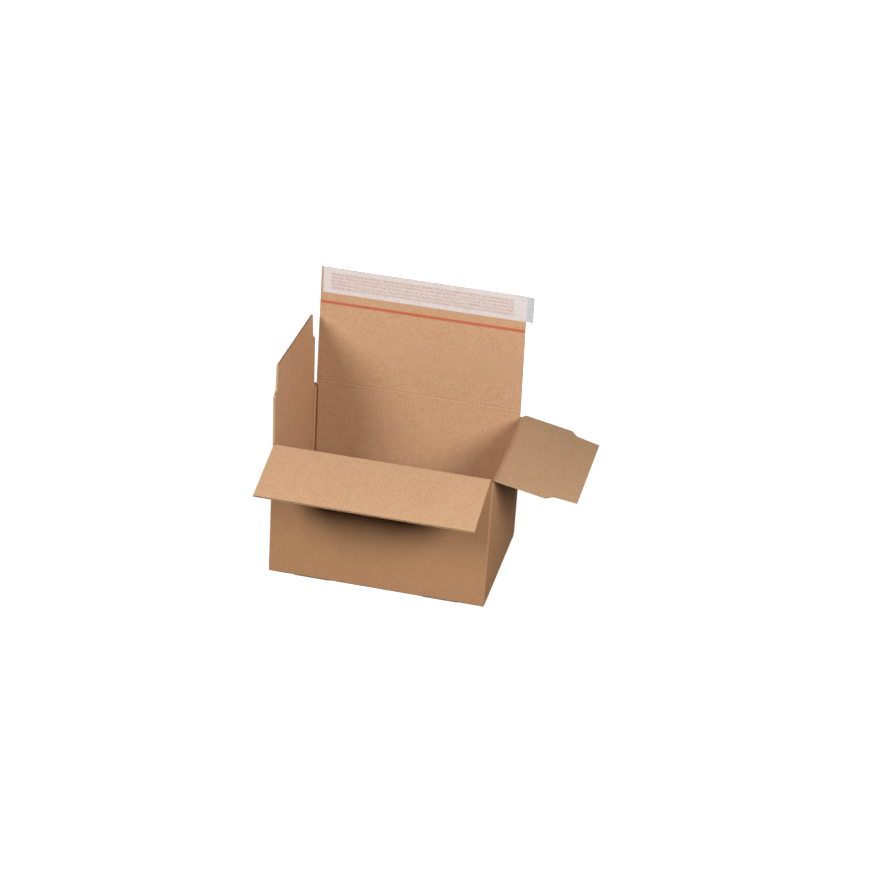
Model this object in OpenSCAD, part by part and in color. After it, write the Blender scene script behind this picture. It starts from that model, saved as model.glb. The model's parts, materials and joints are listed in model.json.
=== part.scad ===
// Corrugated mailer box, folded from one die-cut sheet, standing open.
// The front wall faces -Y, the lid stands on the back wall, and the origin is
// in the middle of the underside. Millimetres and degrees.

/* [Box] */
// Inside width, left to right
inner_w = 314; // [160:1:500]
// Inside depth, front to back
inner_d = 210; // [140:1:400]
// Height of the side creases above the underside
side_crease_h = 204; // [80:1:300]
// Outside radius of the upright and bottom folds
fold_r = 2.4; // [1:0.1:2.8]

/* [Board] */
// Thickness of the corrugated board
board_t = 3; // [2.5:0.1:4]
// Distance from one flute crest to the next
flute_pitch = 6; // [5:0.1:8]
// Thickness of each flat outer sheet of the board
face_sheet_t = 0.35; // [0.25:0.05:0.5]
// Thickness of the wavy middle sheet
wave_sheet_t = 0.3; // [0.2:0.05:0.4]
// Length of flattened flutes beside a flap's crease
crush_l = 7; // [5:0.5:15]
// Board left whole between the last flute and a flap's side edge
edge_margin = 1.2; // [0.8:0.1:3]

/* [Flap lengths, crease to edge] */
// Length of the lid
lid_l = 184; // [170:1:200]
// Length of the front flap
front_flap_l = 105; // [60:1:120]
// Length of each side flap
side_flap_l = 119; // [100:0.5:150]

/* [Flap widths] */
// Gap beside a folded flap, from its side edge to the wall's inner face
flap_clear = 0.3; // [0.2:0.1:2]
// Distance of the lid's side edges from the wall's inner face, at the crease
lid_inset = 2.6; // [0.5:0.1:8]
// Further inset of the lid's side edges at its free edge
lid_taper = 2.5; // [0:0.1:12]
// Distance of a side flap's rear edge from the back wall's inner face
side_flap_rear_inset = 2.7; // [0.5:0.1:10]
// Length of a side flap before it steps in
shoulder_at = 75; // [40:1:85]
// Length of the sloping shoulder
shoulder_l = 9.5; // [4:0.5:14]
// How far each side of the flap steps in at the shoulder
shoulder_step = 11; // [4:0.5:25]
// Further inset of each side at the flap's free edge
end_taper = 3.8; // [0:0.1:8]

/* [Creases] */
// Gap left at the bottom of each flap's fold
crease_gap = 0.15; // [0.1:0.05:0.3]
// Gap between flaps that lie folded on each other
stack_gap = 0.3; // [0.2:0.1:1]
// Depth of the slots at the top corners, below the side creases
slot_depth = 1.5; // [0.5:0.5:6]

/* [Flap angles, outwards from upright] */
// Lid
lid_open = -1.5; // [-10:0.5:155]
// Front flap
front_open = 107; // [20:0.5:165]
// Right flap
right_open = 101; // [20:0.5:165]
// Left flap
left_open = 1; // [0:0.5:165]

/* [Closing strips] */
// Width of the release liner, along the lid's length
liner_w = 38.7; // [20:0.1:50]
// Thickness of the release liner
liner_t = 0.2; // [0.1:0.05:0.3]
// Distance of the liner from the lid's free edge
liner_edge = 0.4; // [0:0.1:5]
// Distance of the liner's left end from the lid's left corner
liner_left_inset = 3.2; // [0:0.1:20]
// How far the liner's pull end stands out past the lid's right corner
liner_pull = 11.5; // [5:0.5:25]
// Thickness of the adhesive strip
adhesive_t = 0.2; // [0.1:0.05:0.3]
// Distance of the adhesive from the liner's long edges and the lid's corners
adhesive_margin = 2; // [1:0.5:6]
// Width of the tear strip
tear_w = 4.6; // [3:0.1:10]
// Thickness of the tear strip
tear_t = 0.25; // [0.1:0.05:0.3]
// Clear board between the tear strip and the release liner
tear_from_liner = 13.2; // [5:0.1:40]
// Distance of the tear strip's ends from the lid's side edges
tear_end = 1; // [0:0.5:10]

/* [Glued joint] */
// Width of the glue tab behind the back wall
tab_w = 33; // [20:1:45]
// Distance of the tab from the underside
tab_inset = 10; // [8:1:40]
// Distance of the tab's top from the side creases, below them
tab_drop = 2; // [2:0.5:20]
// How far the tab's ends slope in
tab_slope = 8; // [2:1:20]
// Distance of the back wall's raw end from the left wall
joint_gap = 5.6; // [4:0.1:8]
// Radius of the bead that the paper makes inside the tab's fold
bead_r = 3; // [2:0.1:3.4]

/* [Bottom] */
// Length of the small bottom flaps at the sides
bottom_flap_l = 76; // [50:1:78]
// Side length of the small bottom flaps' cut corners
bottom_flap_chamfer = 45; // [20:1:60]
// How far each large bottom panel hooks past the middle
hook_l = 26; // [10:1:40]
// Distance of the hooks' shared slope from the middle
hook_offset = 14; // [8:1:40]
// Length of the hooks' shared slope, left to right
hook_slope = 30; // [10:1:60]
// Width of the seam between the large bottom panels
seam_w = 1; // [0.5:0.1:3]
// Distance of the large bottom panels' raw ends from the side walls' faces
panel_end_inset = 0.7; // [0.2:0.1:2]
// Width of the scored lines on the underside
score_w = 1.4; // [1:0.1:3]
// Depth of the scored lines
score_d = 0.5; // [0.2:0.1:0.8]
// Length of the slots cut in the front and back bottom folds
fold_slot_l = 52; // [20:1:70]
// Distance of those slots' middles from the middle of the box
fold_slot_x = 95; // [45:1:110]
// Height of those slots
fold_slot_h = 1.8; // [1:0.1:2.4]

/* [Colours] */
// Board outside and inside
kraft = "#c49a73";
// Flaps, seen from inside
kraft_light = "#cda480";
// Release liner
liner_colour = "#e6dcd8";
// Adhesive
adhesive_colour = "#d9c9b4";
// Tear strip
tear_colour = "#c8593c";

/* [Hidden] */
$fn = 48;

outer_w = inner_w + 2 * board_t;
outer_d = inner_d + 2 * board_t;

// Heights of the creases: each pair of flaps folds down over the last
side_z = side_crease_h;
front_z = side_z + board_t + stack_gap;
strip_stack_t = max(adhesive_t + liner_t, tear_t);
lid_z = front_z + board_t + stack_gap + strip_stack_t;
slot_z = side_z - board_t - slot_depth;
tab_top = side_z - tab_drop;

// Widths of the flaps at their creases
front_flap_w = inner_w - 2 * flap_clear;
lid_w = inner_w - 2 * lid_inset;
lid_end_w = lid_w - 2 * lid_taper;
side_flap_front_y = -(inner_d / 2 - flap_clear);
side_flap_rear_y = inner_d / 2 - side_flap_rear_inset;
side_end_step = shoulder_step + end_taper;

// Places of the strips, as heights above the lid's crease
liner_low = lid_l - liner_edge - liner_w;
tear_low = liner_low - tear_from_liner - tear_w;
lid_half_at_tear = lid_w / 2 - lid_taper * tear_low / lid_l;

// Anything that has to pass right through a solid goes this far beyond it
past = 1;

// The fold's bead reaches this far into the wall and the tab that carry it
bead_bond = 0.5;

// Half of one flute's hollow, as [distance from its middle, height], in
// shares of the pitch: the wavy sheet is a cosine wave of even thickness
wave_rise = board_t - 2 * face_sheet_t - wave_sheet_t;
wave_foot = 0.42;
wave_shares = [-0.25, -0.083, 0.083, 0.25];
function wave_slope(share) = PI * wave_rise / flute_pitch * sin(360 * share);
function wave_y(share) =
    wave_sheet_t / 2 + wave_rise * (1 + cos(360 * share)) / 2
    - wave_sheet_t / 2 * sqrt(1 + pow(wave_slope(share), 2));

// A rectangle with four round corners
module round_rect(w, h, r) {
    square([w - 2 * r, h], center = true);
    square([w, h - 2 * r], center = true);
    for (x = [-1, 1], y = [-1, 1])
        translate([x * (w / 2 - r), y * (h / 2 - r)]) circle(r);
}

// A strip standing on the line y = 0, with its two lower corners round
module round_foot(w, h, r) {
    translate([-w / 2, r]) square([w, h - r]);
    translate([-(w / 2 - r), 0]) square([w - 2 * r, h]);
    for (x = [-1, 1])
        translate([x * (w / 2 - r), r]) circle(r);
}

// A profile drawn as [y, z] and drawn out along x, about the middle
module along_x(length) {
    rotate([90, 0, 90]) linear_extrude(length, center = true) children();
}

// An outline drawn as [x, z] and given the board's thickness, from y = 0 to y = depth
module standing(depth) {
    translate([0, depth, 0]) rotate([90, 0, 0]) linear_extrude(depth) children();
}

// One hollow beside a crest of the wavy sheet. side 0 lies on the outer sheet
// of the board, and side 1 on the inner one.
module flute_hollow(side) {
    foot = wave_foot * flute_pitch;
    arch = concat([[-foot, 0]],
                  [for (share = wave_shares) [share * flute_pitch, wave_y(share)]],
                  [[foot, 0]]);
    base = side == 0 ? face_sheet_t : board_t - face_sheet_t;
    polygon([for (p = arch) [p[0], side == 0 ? base + p[1] : base - p[1]]]);
}

// All the hollows whose flutes fit between two edges, as [x, y] sections.
// Their places are counted from x = 0, so that two ranges stay in step.
module flute_hollows(x_from, x_to) {
    half_pitch = flute_pitch / 2;
    reach = wave_foot * flute_pitch + edge_margin;
    first = ceil((x_from + reach) / half_pitch);
    last = floor((x_to - reach) / half_pitch);
    if (last >= first)
        for (i = [first:last])
            translate([i * half_pitch, 0]) flute_hollow(abs(i) % 2);
}

// What the fold takes away from a flap's root, so that it closes on the wall's
// sloping top: the flap stands upright on z = 0 with its outer face at y = 0
module root_cut(width) {
    along_x(width + 2 * past)
        polygon([[-past, -past], [-past, crease_gap], [0, crease_gap],
                 [board_t + past, crease_gap + board_t + past],
                 [board_t + past, -past]]);
}

// A flap of fluted board that stands upright on its crease
module flap_board(outline, width, length, flute_from, flute_to) {
    difference() {
        standing(board_t) polygon(outline);
        root_cut(width);
        translate([0, 0, crush_l]) linear_extrude(length)
            flute_hollows(flute_from, flute_to);
        children();
    }
}

module on_front_crease() {
    translate([0, -outer_d / 2, front_z]) rotate([front_open, 0, 0]) children();
}

module on_lid_crease() {
    translate([0, outer_d / 2, lid_z]) rotate([-lid_open, 0, 0])
        rotate([0, 0, 180]) children();
}

module on_right_crease(open) {
    translate([outer_w / 2, 0, side_z]) rotate([0, open, 0])
        rotate([0, 0, 90]) children();
}

// The upper end of a wall, between the corner slots, with the sloping top
// that the flap's root closes on. Its foot lies inside the sleeve.
module wall_top(width, crease_z) {
    foot_z = slot_z - board_t;
    along_x(width)
        polygon([[0, foot_z], [board_t, foot_z],
                 [board_t, crease_z - board_t - crease_gap],
                 [0, crease_z - crease_gap]]);
}

// The four walls up to the bottom of the corner slots, as a closed sleeve
module sleeve() {
    difference() {
        intersection() {
            linear_extrude(slot_z) round_rect(outer_w, outer_d, fold_r);
            translate([0, outer_d / 2, board_t])
                rotate([90, 0, 0]) linear_extrude(outer_d)
                round_foot(outer_w, slot_z, fold_r);
        }
        translate([-inner_w / 2, -inner_d / 2, 0]) cube([inner_w, inner_d, slot_z + past]);
    }
}

module wall_tops() {
    side_flap_w = side_flap_rear_y - side_flap_front_y;
    side_flap_mid_y = (side_flap_rear_y + side_flap_front_y) / 2;
    translate([0, -outer_d / 2, 0]) wall_top(front_flap_w, front_z);
    translate([0, outer_d / 2, 0]) rotate([0, 0, 180]) wall_top(lid_w, lid_z);
    for (side = [0, 1]) mirror([side, 0, 0])
        translate([outer_w / 2, side_flap_mid_y, 0]) rotate([0, 0, 90])
            wall_top(side_flap_w, side_z);
}

// The gap in the back left corner, where the back wall's raw end stops short
// of the left wall. The tab closes it from behind, up to its own top.
module joint_cut() {
    translate([-inner_w / 2, inner_d / 2 - past, board_t])
        cube([joint_gap, board_t + 2 * past, tab_top - board_t]);
}

// The paper bulges into the gap inside the tab's fold
module fold_bead() {
    translate([-inner_w / 2, outer_d / 2, board_t]) linear_extrude(slot_z - board_t)
        intersection() {
            circle(bead_r);
            translate([-bead_bond, -bead_r - past])
                square([bead_r + bead_bond + past, bead_r + bead_bond + past]);
        }
}

// The left wall's tab, folded round the corner and glued behind the back wall
module glue_tab() {
    tab_low = tab_inset;
    left = -outer_w / 2;
    intersection() {
        translate([0, outer_d / 2 - fold_r, 0]) standing(board_t + fold_r)
            polygon([[left, tab_low], [left + fold_r, tab_low],
                     [left + tab_w, tab_low + tab_slope],
                     [left + tab_w, tab_top - tab_slope],
                     [left + fold_r, tab_top], [left, tab_top]]);
        translate([0, board_t, 0]) linear_extrude(lid_z)
            difference() {
                round_rect(outer_w, outer_d, fold_r);
                translate([left + board_t, -outer_d / 2 - past])
                    square([outer_w, outer_d - board_t + past]);
            }
    }
}

// The two large bottom panels before the seam parts them. They turn up into
// the front and back walls with round folds.
module bottom_panels() {
    intersection() {
        along_x(outer_w - 2 * panel_end_inset) difference() {
            round_foot(outer_d, 2 * board_t, fold_r);
            translate([-inner_d / 2, board_t]) square([inner_d, board_t + past]);
        }
        linear_extrude(2 * board_t) round_rect(outer_w, outer_d, fold_r);
    }
}

// The small bottom flaps, which lie on the large panels inside the box and
// are glued to them
module bottom_flaps() {
    reach = outer_w / 2 - board_t;
    half = inner_d / 2;
    glue_z = board_t / 2;
    for (side = [0, 1]) mirror([side, 0, 0])
        translate([0, 0, glue_z]) linear_extrude(2 * board_t - glue_z)
            polygon([[reach + past, -half], [reach - bottom_flap_l + bottom_flap_chamfer, -half],
                     [reach - bottom_flap_l, -half + bottom_flap_chamfer],
                     [reach - bottom_flap_l, half - bottom_flap_chamfer],
                     [reach - bottom_flap_l + bottom_flap_chamfer, half],
                     [reach + past, half]]);
}

// The seam where the large panels hook into each other
module seam() {
    half_w = outer_w / 2;
    line = [[-half_w, hook_l], [hook_offset, hook_l],
            [hook_offset + hook_slope, -hook_l], [half_w, -hook_l]];
    translate([0, 0, -past]) linear_extrude(board_t + past)
        polygon(concat([for (p = line) [p[0], p[1] + seam_w / 2]],
                       [for (i = [3:-1:0]) [line[i][0], line[i][1] - seam_w / 2]]));
}

// The scored lines at the corners of the large panels, at 45 degrees
module corner_scores() {
    score_run = outer_d / 2 - hook_l - seam_w;
    score_l = norm([score_run, score_run]);
    for (x = [0, 1], y = [0, 1]) mirror([x, 0, 0]) mirror([0, y, 0])
        translate([-outer_w / 2 + fold_r, -outer_d / 2 + fold_r, 0]) rotate([0, 0, 45])
            translate([score_l / 2, 0, 0]) along_x(score_l)
            polygon([[-score_w / 2, -past], [-score_w / 2, 0], [0, score_d],
                     [score_w / 2, 0], [score_w / 2, -past]]);
}

// The slots that let the large panels fold easily
module fold_slots() {
    for (x = [-1, 1], y = [-1, 1])
        translate([x * fold_slot_x - fold_slot_l / 2,
                   y * (outer_d / 2 - board_t / 2) - board_t / 2 - (y < 0 ? past : 0), -past])
            cube([fold_slot_l, board_t + past, fold_slot_h + past]);
}

module body() {
    color(kraft) difference() {
        union() {
            difference() {
                union() {
                    sleeve();
                    wall_tops();
                }
                joint_cut();
            }
            fold_bead();
            glue_tab();
            bottom_panels();
            bottom_flaps();
        }
        seam();
        corner_scores();
        fold_slots();
    }
}

module lid_flap() {
    color(kraft_light) on_lid_crease()
        flap_board([[-lid_w / 2, 0], [lid_w / 2, 0], [lid_end_w / 2, lid_l], [-lid_end_w / 2, lid_l]],
                   lid_w, lid_l, -lid_end_w / 2, lid_end_w / 2);
}

module front_flap() {
    half = front_flap_w / 2;
    color(kraft_light) on_front_crease()
        flap_board([[-half, 0], [half, 0], [half, front_flap_l], [-half, front_flap_l]],
                   front_flap_w, front_flap_l, -half, half);
}

// A side flap, with the sloping shoulders that let it tuck in under the others.
// The flutes between the shoulders run to the free edge, and those outside
// end at the shoulders.
module side_flap(open) {
    front = side_flap_front_y;
    rear = side_flap_rear_y;
    shoulder_end = shoulder_at + shoulder_l;
    color(kraft_light) on_right_crease(open)
        flap_board([[front, 0], [rear, 0], [rear, shoulder_at],
                    [rear - shoulder_step, shoulder_end], [rear - side_end_step, side_flap_l],
                    [front + side_end_step, side_flap_l], [front + shoulder_step, shoulder_end],
                    [front, shoulder_at]],
                   outer_d, side_flap_l, front + side_end_step, rear - side_end_step)
            translate([0, 0, crush_l]) linear_extrude(side_flap_l) {
                flute_hollows(front, front + shoulder_step);
                flute_hollows(rear - shoulder_step, rear);
            }
}

module right_flap() {
    side_flap(right_open);
}

module left_flap() {
    mirror([1, 0, 0]) side_flap(left_open);
}

// A flat strip on the lid's inner face: left and right are counted from the
// lid's middle as seen from the front, and low and high from its crease
module lid_strip(left, right, low, high, lift, thick) {
    on_lid_crease() translate([-right, board_t + lift, low])
        cube([right - left, thick, high - low]);
}

module adhesive_strip() {
    color(adhesive_colour)
        lid_strip(-lid_end_w / 2 + liner_left_inset + adhesive_margin, lid_end_w / 2 - adhesive_margin,
                  liner_low + adhesive_margin, liner_low + liner_w - adhesive_margin, 0, adhesive_t);
}

module release_liner() {
    color(liner_colour)
        lid_strip(-lid_end_w / 2 + liner_left_inset, lid_end_w / 2 + liner_pull,
                  liner_low, liner_low + liner_w, adhesive_t, liner_t);
}

module tear_strip() {
    color(tear_colour)
        lid_strip(-lid_half_at_tear + tear_end, lid_half_at_tear - tear_end,
                  tear_low, tear_low + tear_w, 0, tear_t);
}

body();
lid_flap();
front_flap();
right_flap();
left_flap();
adhesive_strip();
release_liner();
tear_strip();
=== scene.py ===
"""Corrugated mailer box, standing open: its finishes, crease skins, closing strips and studio.

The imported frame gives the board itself: the folded sleeve and four fluted flaps. This script
gives the board its paper, lays the stretched paper over the creases, replaces the flat release
liner with a film that has ripples and a lifted pull end, and sets up a plain studio.
"""

from __future__ import annotations

import json
import logging
import math
from dataclasses import dataclass, field
from enum import Enum
from functools import partial
from typing import Any

import bmesh
import bpy
from mathutils import Matrix, Vector

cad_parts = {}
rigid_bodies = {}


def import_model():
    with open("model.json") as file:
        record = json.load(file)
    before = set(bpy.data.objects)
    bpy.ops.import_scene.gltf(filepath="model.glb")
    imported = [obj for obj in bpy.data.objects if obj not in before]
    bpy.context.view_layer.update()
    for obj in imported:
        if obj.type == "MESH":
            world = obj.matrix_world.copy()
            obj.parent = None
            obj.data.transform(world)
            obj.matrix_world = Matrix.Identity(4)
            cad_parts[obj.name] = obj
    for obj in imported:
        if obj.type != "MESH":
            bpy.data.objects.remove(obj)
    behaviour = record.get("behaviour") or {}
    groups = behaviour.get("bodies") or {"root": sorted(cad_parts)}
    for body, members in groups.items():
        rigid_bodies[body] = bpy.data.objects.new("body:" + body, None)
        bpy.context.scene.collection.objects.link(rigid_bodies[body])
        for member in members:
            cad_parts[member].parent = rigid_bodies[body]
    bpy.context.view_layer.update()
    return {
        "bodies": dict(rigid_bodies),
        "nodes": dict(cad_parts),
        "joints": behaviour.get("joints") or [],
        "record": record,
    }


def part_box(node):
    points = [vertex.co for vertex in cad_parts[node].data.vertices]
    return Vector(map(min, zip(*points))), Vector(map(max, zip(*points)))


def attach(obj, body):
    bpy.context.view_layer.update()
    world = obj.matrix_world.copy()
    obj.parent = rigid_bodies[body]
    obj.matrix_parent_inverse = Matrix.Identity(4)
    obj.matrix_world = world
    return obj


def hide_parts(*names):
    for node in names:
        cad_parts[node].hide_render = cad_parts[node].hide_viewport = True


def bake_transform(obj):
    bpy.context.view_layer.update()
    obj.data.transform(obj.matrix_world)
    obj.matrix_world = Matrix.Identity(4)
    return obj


LOG = logging.getLogger("mailer_box")
MM = 0.001
FULL_TURN = 2.0 * math.pi
UP = Vector((0.0, 0.0, 1.0))
# edges between faces that turn by more than this stay sharp
SHARP_RIM = math.radians(50.0)
# folded shut, a flap lies this far inwards from upright
SHUT_DEG = 90.0
# a face looks along an axis when its normal's share along it is above this
ALONG_AXIS = 0.7
# noise hardly ever leaves this range
NOISE_RANGE = (0.3, 0.7)
# the Mix node's inputs and output for colours, and its inputs for plain values
COLOUR_A, COLOUR_B, COLOUR_OUT = 6, 7, 2
VALUE_A, VALUE_B = 2, 3


def linear(hex_colour: str) -> tuple[float, float, float, float]:
    """Turn an sRGB hex colour into linear RGBA.

    Args:
        hex_colour: a colour such as "#c49a73".

    Returns:
        Red, green, blue and alpha, as Blender's sockets take them.
    """
    digits = hex_colour.lstrip("#")
    shares = [int(digits[i : i + 2], 16) / 255.0 for i in (0, 2, 4)]
    red, green, blue = (
        s / 12.92 if s <= 0.04045 else ((s + 0.055) / 1.055) ** 2.4 for s in shares
    )
    return (red, green, blue, 1.0)


def add_node(
    tree: bpy.types.NodeTree,
    kind: str,
    *values: Any,
    sockets: dict[Any, Any] | None = None,
    **settings: Any,
) -> Any:
    """Add a shader node with its settings, values and links.

    Args:
        tree: the node tree that gets the node.
        kind: the node's type name, without its "ShaderNode".
        values: what its first inputs get, in order: a value or the output that feeds it.
        sockets: the same for other inputs, by name or number.
        settings: properties of the node itself.

    Returns:
        The new node's outputs.
    """
    node = tree.nodes.new(f"ShaderNode{kind}")
    for name, value in settings.items():
        setattr(node, name, value)
    for key, value in {**dict(enumerate(values)), **(sockets or {})}.items():
        if isinstance(value, bpy.types.NodeSocket):
            tree.links.new(value, node.inputs[key])
        else:
            node.inputs[key].default_value = value
    return node.outputs


def blotches(
    tree: bpy.types.NodeTree, place: bpy.types.NodeSocket, feature_mm: float, detail: float = 2.0
) -> bpy.types.NodeSocket:
    """Draw soft blotches of a real size, as a share from -1 to 1.

    Args:
        tree: the node tree.
        place: the coordinates, in metres.
        feature_mm: the distance from one blotch to the next, in millimetres.
        detail: how many finer octaves are added.

    Returns:
        The share's socket.
    """
    fineness = {"Vector": place, "Scale": 1.0 / (feature_mm * MM), "Detail": detail}
    raw = add_node(tree, "TexNoise", sockets=fineness)[0]
    return add_node(tree, "MapRange", raw, *NOISE_RANGE, -1.0, 1.0)[0]


def new_material(name: str) -> tuple[bpy.types.Material, bpy.types.NodeTree]:
    """Make an empty node material.

    Args:
        name: the material's name.

    Returns:
        The material and its node tree.
    """
    material = bpy.data.materials.new(name)
    material.use_nodes = True
    material.node_tree.nodes.clear()
    return material, material.node_tree


def finish_with(
    tree: bpy.types.NodeTree, colour: Any, normal: Any, **constants: float
) -> None:
    """End a material in one Principled shader.

    Args:
        tree: the node tree.
        colour: the base colour's socket.
        normal: the bumped normal's socket.
        constants: values for the shader's own sockets, with spaces written as underscores.
    """
    sockets: dict[Any, Any] = {"Base Color": colour, "Normal": normal}
    sockets.update({name.replace("_", " "): value for name, value in constants.items()})
    shader = add_node(tree, "BsdfPrincipled", sockets=sockets)
    add_node(tree, "OutputMaterial", shader[0])


def finished_piece(
    name: str, mesh: bmesh.types.BMesh, material: bpy.types.Material
) -> bpy.types.Object:
    """Turn a bmesh into an object at the origin, smooth up to its sharp rims.

    Args:
        name: the piece's name.
        mesh: the finished shape, in metres, in the row frame.
        material: what it is made of.

    Returns:
        The new object.
    """
    bmesh.ops.recalc_face_normals(mesh, faces=mesh.faces)
    for edge in mesh.edges:
        edge.smooth = edge.calc_face_angle(0.0) < SHARP_RIM
    for face in mesh.faces:
        face.smooth = True
    data = bpy.data.meshes.new(name)
    mesh.to_mesh(data)
    mesh.free()
    data.materials.append(material)
    piece = bpy.data.objects.new(name, data)
    bpy.context.scene.collection.objects.link(piece)
    return piece


class FluteRun(Enum):
    """The row-frame direction in which a panel's flutes follow each other."""

    ACROSS_WIDTH = (1.0, 0.0, 0.0)
    ACROSS_DEPTH = (0.0, 1.0, 0.0)


@dataclass(frozen=True)
class KraftBoard:
    """Unbleached kraft-faced corrugated board, pressed over its flutes and dried.

    The paper is matt, with brown fibres in lighter and darker blotches. The flutes press
    through it as faint washboard lines, and its cut edges are rougher and darker. The outer
    paper is a little browner than the inner one.
    """

    pale: str = "#dbb08d"
    middle: str = "#cfa580"
    dark: str = "#bd926d"
    cut: str = "#c3a07b"
    outer_tint: str = "#fbede0"
    # painted shade for the walls of the slots in the bottom folds
    slot_painted_shade: str = "#3a2a20"
    # painted highlight for the sleeve's rounded vertical corners, where they catch the light
    fold_painted_highlight: str = "#d8aa84"
    flute_pitch_mm: float = 6.0
    # the real lines are pressed about this deep into the face
    washboard_mm: float = 0.016
    # real fibres are 0.03 mm thick: drawn as blotches as coarse as the render can show
    fibre_mm: float = 2.4
    mottle_mm: float = 17.0
    cloud_mm: float = 90.0
    fleck_mm: float = 5.0
    # how many finer octaves the fibres and the flecks have
    fibre_detail: float = 3.0
    fleck_detail: float = 4.0
    fibre_relief_mm: float = 0.045
    # how far each pattern moves the paper's tone from its middle
    fibre_weight: float = 0.28
    mottle_weight: float = 0.06
    cloud_weight: float = 0.04
    wave_weight: float = 0.025
    # the washboard lines wander by this many radians over this distance
    wander: float = 0.5
    wander_mm: float = 60.0
    # a fleck starts to show at the first of these and would be full at the second
    fleck_range: tuple[float, float] = (0.75, 2.0)
    roughness: float = 0.86
    specular: float = 0.09
    # a face is a cut edge when its normal's share across the sheet is below this
    cut_below: float = 0.3
    # a painted highlight runs down the sleeve's rounded vertical corners: it starts this far
    # inside both outer faces, and is full this much nearer to them
    highlight_from_mm: float = 1.5
    highlight_over_mm: float = 1.1
    # the small bottom flaps inside have their upper faces above this height
    inner_flap_mm: float = 4.5
    # the walls of the bottom folds' slots, painted dark with shade: how far in, give or take, and
    # up to what height
    slot_in_mm: float = 2.5
    slot_half_mm: float = 1.5
    slot_top_mm: float = 1.85

    def paper(
        self, tree: bpy.types.NodeTree, place: Any, across: Any, outside: Any
    ) -> tuple[bpy.types.NodeSocket, bpy.types.NodeSocket]:
        """Colour the paper, raise its fibres and press the flutes' lines through it.

        Args:
            tree: the node tree.
            place: the object coordinates.
            across: the distance across the flutes, in metres.
            outside: 1 on the outer paper and 0 on the inner one.

        Returns:
            The paper's colour and its bumped normal.
        """
        node = partial(add_node, tree)
        drift = blotches(tree, place, self.wander_mm, 1.0)
        turn = node("Math", across, FULL_TURN / (self.flute_pitch_mm * MM), operation="MULTIPLY")
        turn = node("Math", drift, self.wander, turn[0], operation="MULTIPLY_ADD")
        wave = node("Math", turn[0], operation="SINE")[0]
        fibre = blotches(tree, place, self.fibre_mm, self.fibre_detail)
        mottle = blotches(tree, place, self.mottle_mm)
        cloud = blotches(tree, place, self.cloud_mm, 1.0)
        shade: Any = 0.5
        patterns = (
            (fibre, self.fibre_weight),
            (mottle, self.mottle_weight),
            (cloud, self.cloud_weight),
            (wave, self.wave_weight),
        )
        for share, weight in patterns:
            shade = node("Math", share, weight, shade, operation="MULTIPLY_ADD")[0]
        colour: Any = linear(self.dark)
        for start, tone in ((0.0, self.middle), (0.5, self.pale)):
            share = node("MapRange", shade, start, start + 0.5)[0]
            layers = {COLOUR_A: colour, COLOUR_B: linear(tone)}
            colour = node("Mix", share, sockets=layers, data_type="RGBA")[COLOUR_OUT]
        flecks = blotches(tree, place, self.fleck_mm, self.fleck_detail)
        fleck = node("MapRange", flecks, *self.fleck_range)[0]
        layers = {COLOUR_A: colour, COLOUR_B: linear(self.dark)}
        colour = node("Mix", fleck, sockets=layers, data_type="RGBA")[COLOUR_OUT]
        layers = {COLOUR_A: colour, COLOUR_B: linear(self.outer_tint)}
        tinted = {"data_type": "RGBA", "blend_type": "MULTIPLY"}
        colour = node("Mix", outside, sockets=layers, **tinted)[COLOUR_OUT]
        pressed = {"Height": wave, "Distance": self.washboard_mm * MM, "Strength": 1.0}
        normal = node("Bump", sockets=pressed)[0]
        raised = {"Height": fibre, "Distance": self.fibre_relief_mm * MM, "Normal": normal}
        return colour, node("Bump", sockets=raised)[0]

    def for_panel(self, name: str, run: FluteRun, sheet_normal: Vector) -> bpy.types.Material:
        """Make the board's finish for one flat panel.

        Args:
            name: the material's name.
            run: the direction across the flutes.
            sheet_normal: the direction that the panel's inner face looks in, at rest.

        Returns:
            The material.
        """
        material, tree = new_material(name)
        node = partial(add_node, tree)
        spot = node("TexCoord")
        place = spot["Object"]
        across = node("VectorMath", place, run.value, operation="DOT_PRODUCT")["Value"]
        look = node("VectorMath", spot["Normal"], tuple(sheet_normal), operation="DOT_PRODUCT")
        outside = node("Math", look["Value"], -self.cut_below, operation="LESS_THAN")[0]
        colour, normal = self.paper(tree, place, across, outside)
        facing = node("Math", look["Value"], operation="ABSOLUTE")[0]
        cut = node("Math", facing, self.cut_below, operation="LESS_THAN")[0]
        layers = {COLOUR_A: colour, COLOUR_B: linear(self.cut)}
        colour = node("Mix", cut, sockets=layers, data_type="RGBA")[COLOUR_OUT]
        gloss = {"Roughness": self.roughness, "Specular_IOR_Level": self.specular}
        finish_with(tree, colour, normal, **gloss)
        return material

    def for_sleeve(self, name: str, half_width: float, half_depth: float) -> bpy.types.Material:
        """Make the board's finish for the folded sleeve, whose panels face three ways.

        Args:
            name: the material's name.
            half_width: distance from the middle to the side walls' outer faces, in metres.
            half_depth: distance from the middle to the front wall's outer face, in metres.

        Returns:
            The material.
        """
        material, tree = new_material(name)
        node = partial(add_node, tree)
        spot = node("TexCoord")
        place = spot["Object"]
        at, look = node("SeparateXYZ", place), node("SeparateXYZ", spot["Normal"])
        off_x, off_y = (node("Math", at[i], operation="ABSOLUTE")[0] for i in (0, 1))
        look_x, look_y = (node("Math", look[i], operation="ABSOLUTE")[0] for i in (0, 1))
        side = node("Math", look_x, ALONG_AXIS, operation="GREATER_THAN")[0]
        level = node("Math", look[2], ALONG_AXIS, operation="GREATER_THAN")[0]
        raised = node("Math", at[2], self.inner_flap_mm * MM, operation="GREATER_THAN")[0]
        inner_flap = node("Math", level, raised, operation="MULTIPLY")[0]
        by_depth = node("Math", side, inner_flap, operation="MAXIMUM")[0]
        run = {VALUE_A: at[0], VALUE_B: at[1]}
        across = node("Mix", by_depth, sockets=run, data_type="FLOAT")[0]
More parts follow.
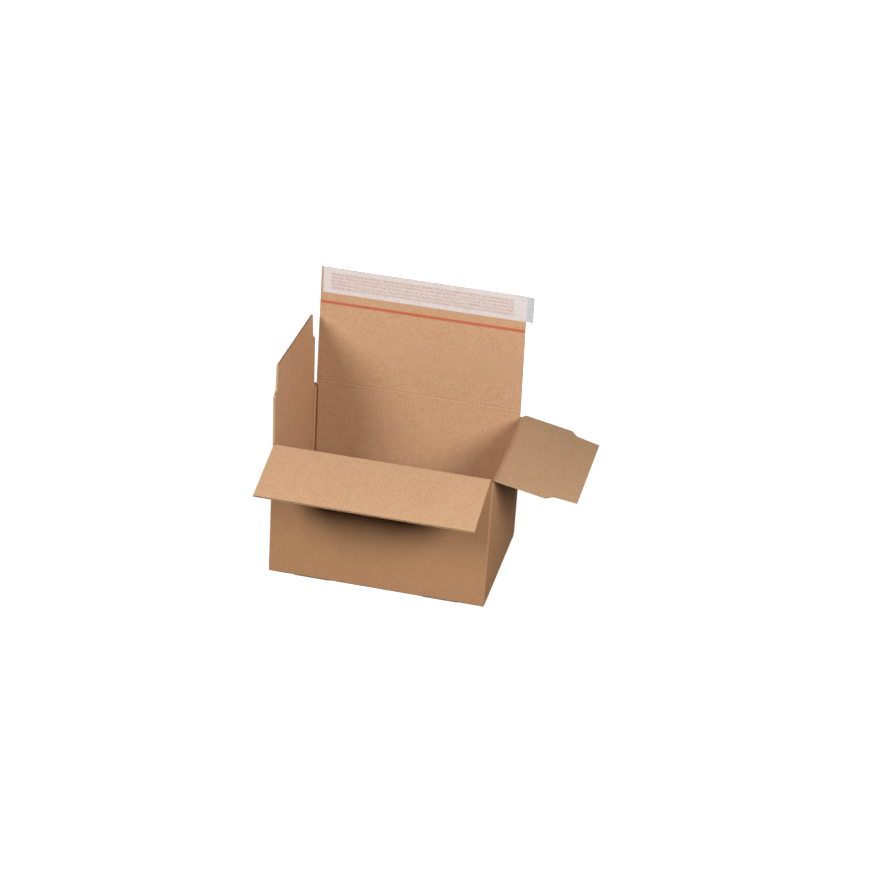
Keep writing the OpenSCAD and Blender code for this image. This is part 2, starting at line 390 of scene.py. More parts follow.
        # a wall's outer face looks away from the middle of the box, and its inner face towards it
        plan = node("VectorMath", place, (1.0, 1.0, 0.0), operation="MULTIPLY")[0]
        away = node("VectorMath", plan, spot["Normal"], operation="DOT_PRODUCT")["Value"]
        walls_out = node("Math", away, half_depth * 0.5, operation="GREATER_THAN")[0]
        underside = node("Math", look[2], -ALONG_AXIS, operation="LESS_THAN")[0]
        outside = node("Math", walls_out, underside, operation="MAXIMUM")[0]
        colour, normal = self.paper(tree, place, across, outside)
        # painted highlight: the sleeve's rounded vertical corners are coloured lighter, where
        # they catch the light
        highlight_from = self.highlight_from_mm * MM
        near_side = node("Math", off_x, half_width - highlight_from, operation="SUBTRACT")[0]
        near_front = node("Math", off_y, half_depth - highlight_from, operation="SUBTRACT")[0]
        near_both = node("Math", near_side, near_front, operation="MINIMUM")[0]
        wear_and_highlight = node("MapRange", near_both, 0.0, self.highlight_over_mm * MM)[0]
        layers = {COLOUR_A: colour, COLOUR_B: linear(self.fold_painted_highlight)}
        colour = node("Mix", wear_and_highlight, sockets=layers, data_type="RGBA")[COLOUR_OUT]
        # painted shade: the slots in the bottom folds are too deep and thin for any light to
        # reach their ends, so their walls are painted dark
        slot_y, slot_half = half_depth - self.slot_in_mm * MM, self.slot_half_mm * MM
        slot_shade_mask = node("Math", off_y, slot_y, slot_half, operation="COMPARE")[0]
        low = node("Math", at[2], self.slot_top_mm * MM, operation="LESS_THAN")[0]
        upright = node("Math", look_y, ALONG_AXIS, operation="GREATER_THAN")[0]
        slot_shade_mask = node("Math", slot_shade_mask, low, operation="MULTIPLY")[0]
        slot_shade_mask = node("Math", slot_shade_mask, upright, operation="MULTIPLY")[0]
        layers = {COLOUR_A: colour, COLOUR_B: linear(self.slot_painted_shade)}
        colour = node("Mix", slot_shade_mask, sockets=layers, data_type="RGBA")[COLOUR_OUT]
        gloss = {"Roughness": self.roughness, "Specular_IOR_Level": self.specular}
        finish_with(tree, colour, normal, **gloss)
        return material


@dataclass(frozen=True)
class HotMelt:
    """Pressure-sensitive hot-melt adhesive, rolled on: clear, tacky and slightly yellow."""

    colour: str = "#d8c3a6"
    streak: str = "#c9ac88"
    streak_mm: float = 4.0
    # the streaks are drawn out along the strip: this is their scale in that direction
    along: float = 0.12
    relief_mm: float = 0.06
    roughness: float = 0.32
    ior: float = 1.5

    def build(self, name: str) -> bpy.types.Material:
        """Make the finish.

        Args:
            name: the material's name.

        Returns:
            The material.
        """
        material, tree = new_material(name)
        node = partial(add_node, tree)
        place = node("TexCoord")["Object"]
        stretch = node("Mapping", place, sockets={"Scale": (self.along, 1.0, 1.0)})
        streaks = blotches(tree, stretch[0], self.streak_mm)
        share = node("MapRange", streaks, -1.0, 1.0)[0]
        layers = {COLOUR_A: linear(self.colour), COLOUR_B: linear(self.streak)}
        colour = node("Mix", share, sockets=layers, data_type="RGBA")[COLOUR_OUT]
        normal = node("Bump", sockets={"Height": streaks, "Distance": self.relief_mm * MM})[0]
        finish_with(tree, colour, normal, Roughness=self.roughness, IOR=self.ior)
        return material


@dataclass(frozen=True)
class TearTape:
    """Red polypropylene tear tape, drawn and laminated on: smooth, with fine lines along it."""

    colour: str = "#be6246"
    light: str = "#cc7857"
    line_mm: float = 0.9
    patch_mm: float = 25.0
    # the lighter tone's share on the whole, and how far the lines and the patches move it
    light_share: float = 0.4
    line_weight: float = 0.25
    patch_weight: float = 0.2
    # the lines are drawn out along the tape: this is their scale in that direction
    along: float = 0.03
    relief_mm: float = 0.02
    roughness: float = 0.45
    ior: float = 1.49

    def build(self, name: str) -> bpy.types.Material:
        """Make the finish.

        Args:
            name: the material's name.

        Returns:
            The material.
        """
        material, tree = new_material(name)
        node = partial(add_node, tree)
        place = node("TexCoord")["Object"]
        stretch = node("Mapping", place, sockets={"Scale": (self.along, 1.0, 1.0)})
        lines = blotches(tree, stretch[0], self.line_mm)
        patches = blotches(tree, place, self.patch_mm)
        mixed = {"operation": "MULTIPLY_ADD", "use_clamp": True}
        share = node("Math", lines, self.line_weight, self.light_share, **mixed)[0]
        share = node("Math", patches, self.patch_weight, share, **mixed)[0]
        layers = {COLOUR_A: linear(self.colour), COLOUR_B: linear(self.light)}
        colour = node("Mix", share, sockets=layers, data_type="RGBA")[COLOUR_OUT]
        normal = node("Bump", sockets={"Height": lines, "Distance": self.relief_mm * MM})[0]
        finish_with(tree, colour, normal, Roughness=self.roughness, IOR=self.ior)
        return material


@dataclass(frozen=True)
class ReleaseFilm:
    """Milky silicone-coated release film: semi-gloss, with small crinkles and a printed hatch.

    The print is plain rows of short slanted strokes in thin brown ink, worn in places.
    """

    over_board: str = "#e8dfdc"
    crinkle: str = "#dacfcb"
    # past the lid's edge the film is painted greyer: painted shade over its own milky colour
    bare_film_painted_shade: str = "#d3d6d6"
    bare_film_painted_shade_dark: str = "#b9bdbe"
    ink: str = "#be8f70"
    crinkle_mm: float = 3.2
    # how many finer octaves the crinkles and the worn patches have
    crinkle_detail: float = 4.0
    wear_detail: float = 3.0
    # the darker tone's share on the whole, and how far the crinkles move it
    crinkle_share: float = 0.4
    crinkle_weight: float = 0.38
    # wide soft folds, this many times as high as the crinkles
    fold_mm: float = 14.0
    fold_weight: float = 2.0
    relief_mm: float = 0.12
    stroke_pitch_mm: float = 3.7
    stroke_slant: float = 0.5
    stroke_rows: float = 5.0
    # the strokes sway by a radian over this distance, and the ink is worn in patches this wide
    sway_mm: float = 9.0
    wear_mm: float = 4.0
    # each pattern's range, and how much ink shows at its two ends
    stroke_ink: tuple[float, float, float, float] = (-1.0, 0.8, 0.1, 0.95)
    row_ink: tuple[float, float, float, float] = (1.0, -0.6, 0.3, 1.0)
    wear_ink: tuple[float, float, float, float] = (-1.0, 0.8, 0.25, 1.0)
    roughness: float = 0.38
    ior: float = 1.45

    def build(
        self,
        name: str,
        board_end: float,
        band: tuple[float, float, float, float],
    ) -> bpy.types.Material:
        """Make the finish.

        Args:
            name: the material's name.
            board_end: x of the lid's edge behind the film's pull end, in metres.
            band: the printed hatch's left, right, low and high limits, in metres.

        Returns:
            The material.
        """
        material, tree = new_material(name)
        node = partial(add_node, tree)
        place = node("TexCoord")["Object"]
        at = node("SeparateXYZ", place)
        crinkles = blotches(tree, place, self.crinkle_mm, self.crinkle_detail)
        mixed = {"operation": "MULTIPLY_ADD", "use_clamp": True}
        share = node("Math", crinkles, self.crinkle_weight, self.crinkle_share, **mixed)[0]
        # over the board the film is painted warmer, as the board shows through it; past the lid's
        # edge it is painted greyer, as painted shade over its own milky colour
        past = node("Math", at[0], board_end, operation="GREATER_THAN")[0]
        layers = {COLOUR_A: linear(self.over_board), COLOUR_B: linear(self.crinkle)}
        over = node("Mix", share, sockets=layers, data_type="RGBA")[COLOUR_OUT]
        layers = {COLOUR_A: linear(self.bare_film_painted_shade), COLOUR_B: linear(self.bare_film_painted_shade_dark)}
        bare = node("Mix", share, sockets=layers, data_type="RGBA")[COLOUR_OUT]
        layers = {COLOUR_A: over, COLOUR_B: bare}
        film = node("Mix", past, sockets=layers, data_type="RGBA")[COLOUR_OUT]
        printed = self.hatch(tree, place, at, band)
        layers = {COLOUR_A: film, COLOUR_B: linear(self.ink)}
        film = node("Mix", printed, sockets=layers, data_type="RGBA")[COLOUR_OUT]
        folds = blotches(tree, place, self.fold_mm)
        height = node("Math", folds, self.fold_weight, crinkles, operation="MULTIPLY_ADD")[0]
        normal = node("Bump", sockets={"Height": height, "Distance": self.relief_mm * MM})[0]
        finish_with(tree, film, normal, Roughness=self.roughness, IOR=self.ior)
        return material

    def hatch(
        self,
        tree: bpy.types.NodeTree,
        place: Any,
        at: Any,
        band: tuple[float, float, float, float],
    ) -> bpy.types.NodeSocket:
        """Draw the rows of slanted strokes.

        Args:
            tree: the node tree.
            place: the object coordinates.
            at: the coordinates' three parts.
            band: the hatch's left, right, low and high limits, in metres.

        Returns:
            How much ink shows.
        """
        node = partial(add_node, tree)
        left, right, low, high = band
        sway = blotches(tree, place, self.sway_mm, 1.0)
        slant = node("Math", at[2], self.stroke_slant, at[0], operation="MULTIPLY_ADD")[0]
        per_metre = FULL_TURN / (self.stroke_pitch_mm * MM)
        turn = node("Math", slant, per_metre, sway, operation="MULTIPLY_ADD")[0]
        wave = node("Math", turn, operation="SINE")[0]
        strokes = node("MapRange", wave, *self.stroke_ink)[0]
        rise = node("Math", at[2], low, operation="SUBTRACT")[0]
        per_metre = self.stroke_rows * FULL_TURN / (high - low)
        turn = node("Math", rise, per_metre, operation="MULTIPLY")[0]
        wave = node("Math", turn, operation="COSINE")[0]
        rows = node("MapRange", wave, *self.row_ink)[0]
        wear = blotches(tree, place, self.wear_mm, self.wear_detail)
        wear_and_highlight = node("MapRange", wear, *self.wear_ink)[0]
        ink = node("Math", strokes, rows, operation="MULTIPLY")[0]
        ink = node("Math", ink, wear_and_highlight, operation="MULTIPLY")[0]
        for part, start, end in ((at[0], left, right), (at[2], low, high)):
            middle, half = (start + end) / 2.0, (end - start) / 2.0
            inside = node("Math", part, middle, half, operation="COMPARE")[0]
            ink = node("Math", ink, inside, operation="MULTIPLY")[0]
        return ink


@dataclass
class Flap:
    """One flap of fluted board and the crease that it turns on.

    Attributes:
        node: the flap's CAD node.
        body: the CAD body that carries it.
        joint: the crease's joint.
        inward: direction from the wall's outer face to its inner face.
        run: the direction across its flutes.
        pivot: a point on the crease's line, in metres.
        axis: the crease's direction.
        open_turn: the turn that takes the flap from upright to its angle at rest.
    """

    node: str
    body: str
    joint: str
    inward: Vector
    run: FluteRun
    pivot: Vector = field(default_factory=Vector)
    axis: Vector = field(default_factory=Vector)
    open_turn: Matrix = field(default_factory=Matrix)

    def read(self, joints: list[dict[str, Any]]) -> None:
        """Take the crease's line and the flap's angle at rest from the joints.

        Args:
            joints: the frame's joints. A flap's lowest value folds it shut, a right angle
                inwards from upright, so the rest of that range is how far it stands open.
        """
        joint = next(j for j in joints if j["name"] == self.joint)
        self.pivot = Vector(joint["pos_m"])
        self.axis = Vector(joint["axis"])
        open_deg = -joint["range_deg"][0] - SHUT_DEG
        self.open_turn = Matrix.Rotation(math.radians(open_deg), 3, self.axis)

    def face_normal(self) -> Vector:
        """Give the direction that the flap's inner face looks in, at rest."""
        return self.open_turn @ self.inward

    def dress(self, nodes: dict[str, bpy.types.Object], board: KraftBoard) -> bpy.types.Material:
        """Give the flap its board finish.

        Args:
            nodes: the frame's CAD objects.
            board: the board's finish.

        Returns:
            The flap's material.
        """
        finish = board.for_panel(f"kraft_{self.node}", self.run, self.face_normal())
        set_material(nodes[self.node], finish)
        LOG.info("%s: kraft board", self.node)
        return finish


def set_material(target: bpy.types.Object, material: bpy.types.Material) -> None:
    """Put one material in every slot of a CAD object.

    Args:
        target: the CAD object.
        material: its new finish.
    """
    if not target.material_slots:
        target.data.materials.append(material)
    for place in target.material_slots:
        place.material = material


@dataclass
class CreaseSkin:
    """The inner paper that runs over a crease from wall to flap, with its pressed score.

    Attributes:
        flap: the flap beyond the crease.
        half_width: half of the crease's length, in metres.
        shift: from the crease's pivot to its middle, in metres.
        board_t: thickness of the board.
        reach: how far the paper goes on each side of the crease.
        score_half: half of the pressed line's width.
        score_depth: how deep the line is pressed in.
        lift: how far the paper stands on the board's face.
        tuck: how far the paper's long edges sink below that face.
        tuck_power: how close to those edges the paper stays level: the higher, the closer.
        paper_t: thickness of the paper.
        uneven: how much the line's depth varies along it, as a share.
        uneven_turns: radians of its two variations, from the crease's middle to its end.
        rows: rows of faces across the crease.
        columns: rows of faces along the crease.
    """

    flap: Flap
    half_width: float
    shift: Vector = field(default_factory=Vector)
    board_t: float = 3.0 * MM
    reach: float = 6.0 * MM
    score_half: float = 1.6 * MM
    score_depth: float = 0.45 * MM
    lift: float = 0.1 * MM
    tuck: float = 0.3 * MM
    tuck_power: int = 6
    paper_t: float = 0.25 * MM
    uneven: float = 0.18
    uneven_turns: tuple[float, float] = (37.0, 11.0)
    rows: int = 28
    columns: int = 48

    def build(self, name: str, material: bpy.types.Material) -> bpy.types.Object:
        """Make the skin and bend it between the wall and the flap.

        Args:
            name: the piece's name.
            material: the board's finish.

        Returns:
            The finished piece.
        """
        mesh = bmesh.new()
        bmesh.ops.create_grid(mesh, x_segments=self.columns, y_segments=self.rows, size=1.0)
        bmesh.ops.solidify(mesh, geom=mesh.faces, thickness=1.0)
        inward = self.flap.inward
        along = inward.cross(UP)
        middle = self.flap.pivot + self.shift
        fine, broad = self.uneven_turns
        for vert in mesh.verts:
            share, height = vert.co.x, vert.co.y * self.reach
            spread = min(1.0, abs(height) / self.score_half)
            dip = self.score_depth * 0.5 * (1.0 + math.cos(math.pi * spread))
            dip *= 1.0 + self.uneven * math.sin(share * fine) * math.sin(share * broad)
            proud = self.lift - (self.lift + self.tuck) * vert.co.y**self.tuck_power
            behind = min(1.0, abs(vert.co.z)) * self.paper_t
            depth = self.board_t + proud - dip - behind
            level = Vector((0.0, 0.0, height)) + inward * depth
            if height > 0.0:
                level = self.flap.open_turn @ level
            vert.co = middle + along * (share * self.half_width) + level
        piece = finished_piece(name, mesh, material)
        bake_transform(piece)
        LOG.info("%s: paper over the crease", name)
        return piece


@dataclass
class CreaseBead:
    """The outer paper's fold: a thin, slightly uneven roll along the crease line.

    Attributes:
        flap: the flap beyond the crease.
        half_width: half of the crease's length, in metres.
        shift: from the crease's pivot to its middle, in metres.
        radius: the roll's radius.
        sunk: how far the roll's middle lies inside the wall's outer face.
        swell: how much the roll's radius varies, as a share.
        swell_per_metre: radians per metre of its two variations.
        sides: flat sides around the roll.
        cuts: cuts along the roll.
    """

    flap: Flap
    half_width: float
    shift: Vector = field(default_factory=Vector)
    radius: float = 0.32 * MM
    sunk: float = 0.2 * MM
    swell: float = 0.16
    swell_per_metre: tuple[float, float] = (310.0, 97.0)
    sides: int = 10
    cuts: int = 40

    def build(self, name: str, material: bpy.types.Material) -> bpy.types.Object:
        """Make the roll and fix it to the sleeve.

        Args:
            name: the piece's name.
            material: the board's finish.

        Returns:
            The finished piece.
        """
        mesh = bmesh.new()
        bmesh.ops.create_cone(
            mesh,
            cap_ends=True,
            segments=self.sides,
            radius1=self.radius,
            radius2=self.radius,
            depth=2.0 * self.half_width,
        )
        long_edges = [e for e in mesh.edges if e.calc_length() > self.half_width]
        bmesh.ops.subdivide_edges(mesh, edges=long_edges, cuts=self.cuts, use_grid_fill=False)
        fine, broad = self.swell_per_metre
        for vert in mesh.verts:
            wave = math.sin(vert.co.z * fine) * math.sin(vert.co.z * broad)
            vert.co.x *= 1.0 + self.swell * wave
            vert.co.y *= 1.0 + self.swell * wave
        along = self.flap.inward.cross(UP)
        turn = UP.rotation_difference(along).to_matrix().to_4x4()
        centre = self.flap.pivot + self.shift + self.flap.inward * self.sunk
        bmesh.ops.transform(mesh, matrix=Matrix.Translation(centre) @ turn, verts=mesh.verts)
        piece = finished_piece(name, mesh, material)
        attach(piece, "box")
        LOG.info("%s: outer fold", name)
        return piece


@dataclass
class ReleaseLiner:
    """The film over the adhesive, with soft ripples and a pull end that lifts off the lid.

    Attributes:
        lid: the lid flap.
        board_end: how far the lid reaches sideways at the film, in metres.
        board_t: thickness of the lid's board.
        adhesive_t: thickness of the adhesive beneath the film.
        ripple: height of the film's ripples.
        ripple_mean: how far the film lies off the adhesive on the whole, in ripple heights.
        ripple_swing: how far each ripple goes either way, in ripple heights.
        ripples_per_metre: radians per metre of the middle, broad and fine ripples.
        ripple_slants: how far the middle and fine ripples shift from the film's middle line
            to its edge, in radians.
        broad_start: the broad ripples' start, in radians.
        fine_share: the fine ripples' share.
        end_lift: how far the pull end lifts.
        end_twist: how much more its upper corner lifts, as a share.
        past_edge: how far the film reaches past its solid, which ends 0.4 mm short of the
            lid's free edge.
        film_t: thickness of the film.
        bare_past: how far past the lid's edge the film starts to look bare, painted greyer with
            shade.
        print_ends: the printed hatch's left and right ends, in metres from the middle.
        print_below: clear film below the hatch.
        print_above: clear film above it.
        columns: rows of faces along the film.
        rows: rows of faces across it.
    """

    lid: Flap
    board_end: float = 152.2 * MM
    board_t: float = 3.0 * MM
    adhesive_t: float = 0.2 * MM
    ripple: float = 0.05 * MM
    ripple_mean: float = 1.2
    ripple_swing: float = 0.75
    ripples_per_metre: tuple[float, float, float] = (210.0, 61.0, 433.0)
    ripple_slants: tuple[float, float] = (2.0, -3.0)
    broad_start: float = 0.7
    fine_share: float = 0.6
    end_lift: float = 1.1 * MM
    end_twist: float = 0.35
    past_edge: float = 1.6 * MM
    film_t: float = 0.08 * MM
    bare_past: float = 0.3 * MM
    print_ends: tuple[float, float] = (-137.0 * MM, 134.0 * MM)
    print_below: float = 6.0 * MM
    print_above: float = 7.0 * MM
    columns: int = 220
    rows: int = 18

    def build(self) -> bpy.types.Object:
        """Make the film in the place of its flat CAD solid.

        Returns:
            The finished piece.
        """
        low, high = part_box("release_liner")
        turn = self.lid.open_turn
        flat_low = turn.inverted() @ (low - self.lid.pivot)
        flat_high = turn.inverted() @ (high - self.lid.pivot)
        centre_x, half_x = (low.x + high.x) / 2.0, (high.x - low.x) / 2.0
        lower, upper = flat_low.z, flat_high.z + self.past_edge
        centre_z, half_z = (lower + upper) / 2.0, (upper - lower) / 2.0
        back = -(self.board_t + self.adhesive_t)
        end_x = centre_x + half_x
        mesh = bmesh.new()
        bmesh.ops.create_grid(mesh, x_segments=self.columns, y_segments=self.rows, size=1.0)
        for vert in mesh.verts:
            across, up = vert.co.x, vert.co.y
            x = centre_x + across * half_x
            z = centre_z + up * half_z
            rise = self.ripple * (self.ripple_mean + self.ripple_swing * self.wave(x, up))
            past = max(0.0, x - self.board_end) / (end_x - self.board_end)
            rise += self.end_lift * past * past * (1.0 + self.end_twist * up)
            vert.co = self.lid.pivot + turn @ Vector((x, back - rise, z))
        bmesh.ops.solidify(mesh, geom=mesh.faces, thickness=self.film_t)
        print_low = self.lid.pivot.z + lower + self.print_below
        print_high = self.lid.pivot.z + upper - self.print_above
        band = (*self.print_ends, print_low, print_high)
        finish = ReleaseFilm().build("release_film", self.board_end + self.bare_past, band)
        piece = finished_piece("liner_film", mesh, finish)
        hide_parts("release_liner")
        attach(piece, "lid")
        LOG.info("liner_film: release film with its pull end")
        return piece

    def wave(self, x: float, up: float) -> float:
        """Add up the ripples at one place.

        Args:
            x: the place along the film, in metres.
            up: the place across it, from -1 to 1.

        Returns:
            The ripples' sum, in ripple heights.
        """
        middle, broad, fine = self.ripples_per_metre
        middle_slant, fine_slant = self.ripple_slants
        wave = math.sin(x * middle + middle_slant * up)
        wave *= math.sin(x * broad + self.broad_start)
        return wave + self.fine_share * math.sin(x * fine + fine_slant * up)


@dataclass(frozen=True)
class Softbox:
    """A studio lamp with a wide, soft face.

    Attributes:
        name: the lamp's name.
        azimuth: degrees to the right of straight ahead, seen from the front.
        elevation: degrees above the floor.
        strength: light on a face that looks at the lamp, where 1 shows a colour as written.
        size: width of the lamp's face, in metres.
        distance: metres from the box.
    """

    name: str
    azimuth: float
    elevation: float
    strength: float
    size: float = 0.46
    distance: float = 1.3

    def build(self, aim: Vector) -> None:
        """Hang the lamp and point it at the box.

        Args:
            aim: the point that it looks at.
        """
        side, rise = math.radians(self.azimuth), math.radians(self.elevation)
        towards = Vector(
            (math.sin(side) * math.cos(rise), -math.cos(side) * math.cos(rise), math.sin(rise))
        )
        data = bpy.data.lights.new(self.name, "AREA")
        data.shape = "DISK"
        data.size = self.size
        data.energy = self.strength * (math.pi * self.distance) ** 2
        lamp = bpy.data.objects.new(self.name, data)
        lamp.location = aim + towards * self.distance
        lamp.rotation_euler = towards.to_track_quat("Z", "Y").to_euler()
        lamp.visible_camera = False
        bpy.context.scene.collection.objects.link(lamp)


@dataclass
class Studio:
    """The plain floor, the soft lamps and the camera.

    Attributes:
        aim: what the lamps point at.
        lamps: the soft lamps.
        sky: strength of the even light from all round.
        floor_half: half of the floor's width, in metres.
        floor_seen: the floor's grey, to the camera.
        floor_cast: the darker grey that it throws back at the box.
        floor_roughness: how matt the floor is.
        glow_reach: where the floor's own glow starts to grow and where it is full, in metres.
        glow_near: the glow's share near the box.
        unlit: patches of floor that no light reaches, beneath the box and in the slots of its
            bottom folds: how far out to the left and right each one's middle is, its half width,
            and how far it goes to the front and back, in metres.
    """

    aim: Vector = field(default_factory=lambda: Vector((0.0, 0.0, 0.2)))
    lamps: tuple[Softbox, ...] = (
        Softbox("left_lamp", -34.5, 30.5, 0.63),
        Softbox("right_lamp", 45.0, 27.5, 0.675),
        Softbox("back_fill", 182.0, 4.0, 0.42),
    )
    sky: float = 0.01
    floor_half: float = 30.0
    floor_seen: str = "#c0c0c0"
    floor_cast: str = "#303030"
    floor_roughness: float = 0.9
    glow_reach: tuple[float, float] = (0.25, 1.1)
    glow_near: float = 0.8
    unlit: tuple[tuple[float, float, float], ...] = (
        (0.0, 0.158, 0.1062),
        (0.095, 0.026, 0.1081),
    )

    def build(self) -> None:
        """Set up the whole studio."""
        for lamp in self.lamps:
            lamp.build(self.aim)
        self.world()
        self.floor()
        self.camera()
        bpy.context.scene.view_settings.view_transform = "Standard"
        LOG.info("studio: %d lamps, floor and camera", len(self.lamps))

    def seen_directly(self, tree: bpy.types.NodeTree) -> bpy.types.NodeSocket:
        """Tell the rays of the camera, of gloss and through clear things from all others.

        Args:
            tree: the node tree.

        Returns:
            1 for those rays, and 0 for the rest.
        """
        node = partial(add_node, tree)
        rays = node("LightPath")
        seen = rays["Is Camera Ray"]
        for kind in ("Is Glossy Ray", "Is Transmission Ray"):
            seen = node("Math", seen, rays[kind], operation="MAXIMUM")[0]
        return seen

    def world(self) -> None:
        """Surround the box with dim even light that looks white to the camera."""
        world = bpy.data.worlds.new("studio_world")
        world.use_nodes = True
        tree = world.node_tree
        tree.nodes.clear()
        node = partial(add_node, tree)
        seen = self.seen_directly(tree)
        strength = node("Math", seen, 1.0 - self.sky, self.sky, operation="MULTIPLY_ADD")[0]
        back = node("Background", (1.0, 1.0, 1.0, 1.0), strength)
        node("OutputWorld", back[0])
        bpy.context.scene.world = world

    def floor(self) -> None:
        """Lay a pale floor that shows white, with only a faint shadow."""
        mesh = bmesh.new()
        bmesh.ops.create_grid(mesh, x_segments=1, y_segments=1, size=self.floor_half)
        data = bpy.data.meshes.new("floor")
        mesh.to_mesh(data)
        mesh.free()
        material, tree = new_material("pale_floor")
        node = partial(add_node, tree)
        seen = self.seen_directly(tree)
        layers = {COLOUR_A: linear(self.floor_cast), COLOUR_B: linear(self.floor_seen)}
        place = node("TexCoord")["Object"]
        away = node("VectorMath", place, operation="LENGTH")["Value"]
        # the lamps' light fades away from the box, and this keeps the floor white there
        glow = node("MapRange", away, *self.glow_reach, self.glow_near, 1.0)[0]
        at = node("SeparateXYZ", place)
        off_x = node("Math", at[0], operation="ABSOLUTE")[0]
        for middle, half, reach in self.unlit:
            wide = node("Math", off_x, middle, half, operation="COMPARE")[0]
            deep = node("Math", at[1], 0.0, reach, operation="COMPARE")[0]
            dark = node("Math", wide, deep, operation="MULTIPLY")[0]
            glow = node("Math", glow, dark, operation="SUBTRACT", use_clamp=True)[0]
        sockets = {
            "Base Color": node("Mix", seen, sockets=layers, data_type="RGBA")[COLOUR_OUT],
            "Roughness": self.floor_roughness,
            "Specular IOR Level": 0.0,
            "Emission Color": (1.0, 1.0, 1.0, 1.0),
            "Emission Strength": node("Math", seen, glow, operation="MULTIPLY")[0],
        }
        node("OutputMaterial", node("BsdfPrincipled", sockets=sockets)[0])
        data.materials.append(material)
        floor = bpy.data.objects.new("floor", data)
        bpy.context.scene.collection.objects.link(floor)

    def camera(self) -> None:
        """Place the camera as the photograph's perspective asks."""
        view = CameraView()
        data = bpy.data.cameras.new("camera")
        data.sensor_width = view.sensor
        data.lens = view.focal_px * view.sensor / view.image_px
        data.dof.use_dof = False
        data.clip_end = view.clip_end
        camera = bpy.data.objects.new("camera", data)
        camera.matrix_world = view.matrix()
        bpy.context.scene.collection.objects.link(camera)
        bpy.context.scene.camera = camera


@dataclass(frozen=True)
class CameraView:
    """The camera that was fitted to the photograph's edges.

    Attributes:
        azimuth: degrees to the right of straight ahead, seen from the front.
        elevation: degrees above the box.
        roll: degrees that the picture leans.
        focal_px: focal length in pixels of the 886 pixel picture.
        offset: the box's middle in the camera's own right and down directions, in metres.
        distance: metres from the camera to the box's middle, along its view.
        middle: the box's middle.
        image_px: width of the picture.
        sensor: width of the camera's sensor, in millimetres.
        clip_end: how far the camera sees, in metres.
    """

    azimuth: float = 11.2546
    elevation: float = 27.8779
    roll: float = 3.7804
    focal_px: float = 2482.0392
    offset: tuple[float, float] = (-0.0670647, 0.0708130)
    distance: float = 3.6133549
    middle: tuple[float, float, float] = (0.0, 0.0, 0.103)
    image_px: float = 886.0
    sensor: float = 36.0
    clip_end: float = 100.0

    def matrix(self) -> Matrix:
        """Work out the camera's place and turn.

        Returns:
            The camera's world matrix.
        """
        side, rise, lean = (math.radians(a) for a in (self.azimuth, self.elevation, self.roll))
        forward = Vector(
            (-math.sin(side) * math.cos(rise), math.cos(side) * math.cos(rise), -math.sin(rise))
        )
        level_right = Vector((math.cos(side), math.sin(side), 0.0))
        level_down = forward.cross(level_right)
        right = level_right * math.cos(lean) - level_down * math.sin(lean)
        down = level_down * math.cos(lean) + level_right * math.sin(lean)
        place = Vector(self.middle)
        place -= right * self.offset[0] + down * self.offset[1] + forward * self.distance
        turn = Matrix((right, -down, -forward)).transposed().to_4x4()
        return Matrix.Translation(place) @ turn


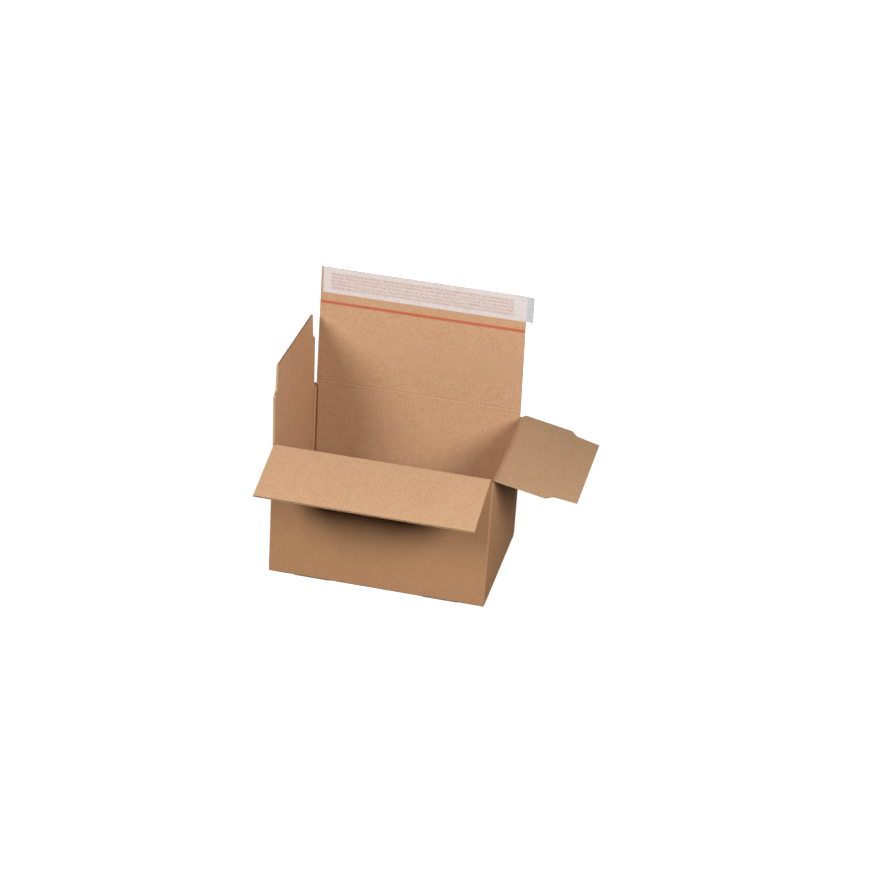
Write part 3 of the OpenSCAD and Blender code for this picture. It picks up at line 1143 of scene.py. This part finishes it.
@dataclass
class MailerBox:
    """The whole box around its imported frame.

    Attributes:
        board: the board's finish.
        half_width: distance from the middle to the side walls' outer faces.
        half_depth: distance from the middle to the front and back walls' outer faces.
        lid_half: half of the lid's crease.
        front_half: half of the front flap's crease.
        side_half: half of each side flap's crease.
        side_shift: from the middle of a side wall to the middle of its flap's crease.
    """

    frame: dict[str, Any]
    board: KraftBoard = field(default_factory=KraftBoard)
    half_width: float = 160.0 * MM
    half_depth: float = 108.0 * MM
    lid_half: float = 154.2 * MM
    front_half: float = 156.5 * MM
    side_half: float = 103.3 * MM
    side_shift: Vector = field(default_factory=lambda: Vector((0.0, -1.2 * MM, 0.0)))

    def build(self) -> None:
        """Dress the board and add the crease and closing pieces."""
        flaps = self.flaps()
        finishes = {flap.node: flap.dress(self.frame["nodes"], self.board) for flap in flaps}
        sleeve = self.board.for_sleeve("kraft_sleeve", self.half_width, self.half_depth)
        set_material(self.frame["nodes"]["body"], sleeve)
        LOG.info("body: kraft board")
        self.creases(flaps, finishes)
        self.closing(flaps[0])

    def flaps(self) -> list[Flap]:
        """List the four flaps, with their creases read from the frame.

        Returns:
            The lid, front, right and left flaps.
        """
        wide, deep = FluteRun.ACROSS_WIDTH, FluteRun.ACROSS_DEPTH
        flaps = [
            Flap("lid_flap", "lid", "lid_hinge", Vector((0.0, -1.0, 0.0)), wide),
            Flap("front_flap", "front", "front_flap_hinge", Vector((0.0, 1.0, 0.0)), wide),
            Flap("right_flap", "right", "right_flap_hinge", Vector((-1.0, 0.0, 0.0)), deep),
            Flap("left_flap", "left", "left_flap_hinge", Vector((1.0, 0.0, 0.0)), deep),
        ]
        for flap in flaps:
            flap.read(self.frame["joints"])
        return flaps

    def creases(self, flaps: list[Flap], finishes: dict[str, bpy.types.Material]) -> None:
        """Lay the paper over the creases.

        Args:
            flaps: the four flaps.
            finishes: each flap's board finish.
        """
        lid, front, right, left = flaps
        beside = (self.side_half, self.side_shift)
        CreaseSkin(lid, self.lid_half).build("lid_crease_paper", finishes["lid_flap"])
        CreaseSkin(left, *beside).build("left_crease_paper", finishes["left_flap"])
        CreaseBead(lid, self.lid_half).build("lid_crease_roll", finishes["lid_flap"])
        CreaseBead(front, self.front_half).build("front_crease_roll", finishes["front_flap"])
        for side in (right, left):
            CreaseBead(side, *beside).build(f"{side.body}_crease_roll", finishes[side.node])

    def closing(self, lid: Flap) -> None:
        """Dress the strips on the lid.

        Args:
            lid: the lid flap.
        """
        nodes = self.frame["nodes"]
        set_material(nodes["adhesive_strip"], HotMelt().build("hot_melt"))
        set_material(nodes["tear_strip"], TearTape().build("tear_tape_film"))
        LOG.info("adhesive_strip and tear_strip: hot melt and tear tape")
        ReleaseLiner(lid).build()


def main() -> None:
    """Build the classes in order."""
    logging.basicConfig(level=logging.INFO, format="%(name)s: %(message)s")
    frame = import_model()
    MailerBox(frame).build()
    Studio().build()


if __name__ == "__main__":
    main()
